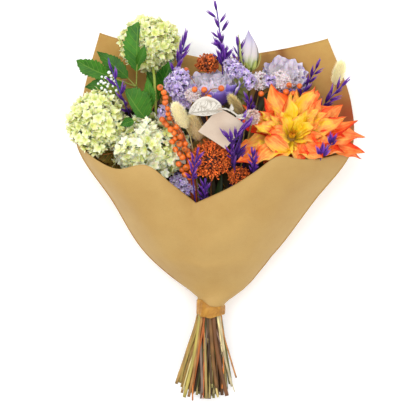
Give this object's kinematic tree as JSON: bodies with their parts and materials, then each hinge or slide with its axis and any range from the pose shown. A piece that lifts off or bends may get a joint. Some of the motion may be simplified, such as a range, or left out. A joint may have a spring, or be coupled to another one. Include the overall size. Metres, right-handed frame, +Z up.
{
  "type": "mixed flower bouquet",
  "caption": "Mixed cut-flower bouquet in a gathered kraft paper sleeve: dahlia, viburnum, lisianthus, statice, berries, oats and tufts, bound at the neck and lying on its back.",
  "frame": {"origin": "on the table, on the flat rest at the back of the paper sleeve, under the middle of the blooms", "axes": "+Y from the cut stem ends to the blooms, +X to the right seen from above, +Z up off the table"},
  "size_m": [0.3993, 0.548, 0.176],
  "materials": {
    "kraft_paper": "matte, slightly fibrous",
    "paper_band": "satin tape over kraft paper",
    "binding_twine": "twisted fibres",
    "green_stem": "matte plant skin",
    "viburnum_leaf": "satin leaf",
    "viburnum_floret": "soft matte petal",
    "white_bud": "soft matte petal",
    "dahlia_petal": "soft satin petal",
    "lisianthus_petal": "soft matte petal",
    "statice_floret": "papery petal",
    "scabiosa_floret": "soft matte petal",
    "bunny_tail": "soft hairs",
    "orange_berry": "satin berry skin",
    "rust_head": "soft bristles",
    "oat_purple": "dyed husk",
    "filler_green": "matte leaf",
    "plain_card": "smooth card"
  },
  "bodies": {
    "root": {"sleeve_back_panel": "kraft_paper", "sleeve_front_panel": "kraft_paper", "stem_twine": "binding_twine", "neck_band": "paper_band", "scabiosa_back_head": "scabiosa_floret", "scabiosa_right_head": "scabiosa_floret", "scabiosa_left_head": "scabiosa_floret", "scabiosa_front_head": "scabiosa_floret", "viburnum_top_head": "viburnum_floret", "viburnum_left_head": "viburnum_floret", "viburnum_low_head": "viburnum_floret", "dahlia_bloom": "dahlia_petal", "lisianthus_left_bloom": "lisianthus_petal", "lisianthus_right_bloom": "lisianthus_petal", "lisianthus_bud_petals": "lisianthus_petal", "rust_middle": "rust_head", "rust_low": "rust_head", "rust_top": "rust_head", "bunny_tail_left": "bunny_tail", "bunny_tail_middle": "bunny_tail", "bunny_tail_right": "bunny_tail", "bunny_tail_far": "bunny_tail", "statice_left": "statice_floret", "statice_right": "statice_floret", "statice_low": "statice_floret", "viburnum_shoot": "viburnum_leaf", "viburnum_top_stem": "viburnum_leaf", "viburnum_left_stem": "viburnum_leaf", "viburnum_low_stem": "green_stem", "dahlia_stem": "green_stem", "lisianthus_left_stem": "green_stem", "lisianthus_right_stem": "green_stem", "lisianthus_bud_stem": "green_stem", "scabiosa_back_stem": "green_stem", "scabiosa_right_stem": "green_stem", "scabiosa_left_stem": "green_stem", "scabiosa_front_stem": "green_stem", "berries_left": "orange_berry", "berries_middle": "orange_berry", "berries_right": "orange_berry", "oat_left": "oat_purple", "oat_upper_left": "oat_purple", "oat_top": "oat_purple", "oat_by_bud": "oat_purple", "oat_upper_right": "oat_purple", "oat_right": "oat_purple", "oat_middle": "oat_purple", "oat_inner": "oat_purple", "oat_low": "oat_purple", "oat_bottom": "oat_purple", "oat_low_right": "oat_purple", "white_bud_sprig": "white_bud", "filler_sprig": "filler_green", "plain_card": "plain_card", "leaf_tag": "plain_card"}
  },
  "joints": []
}
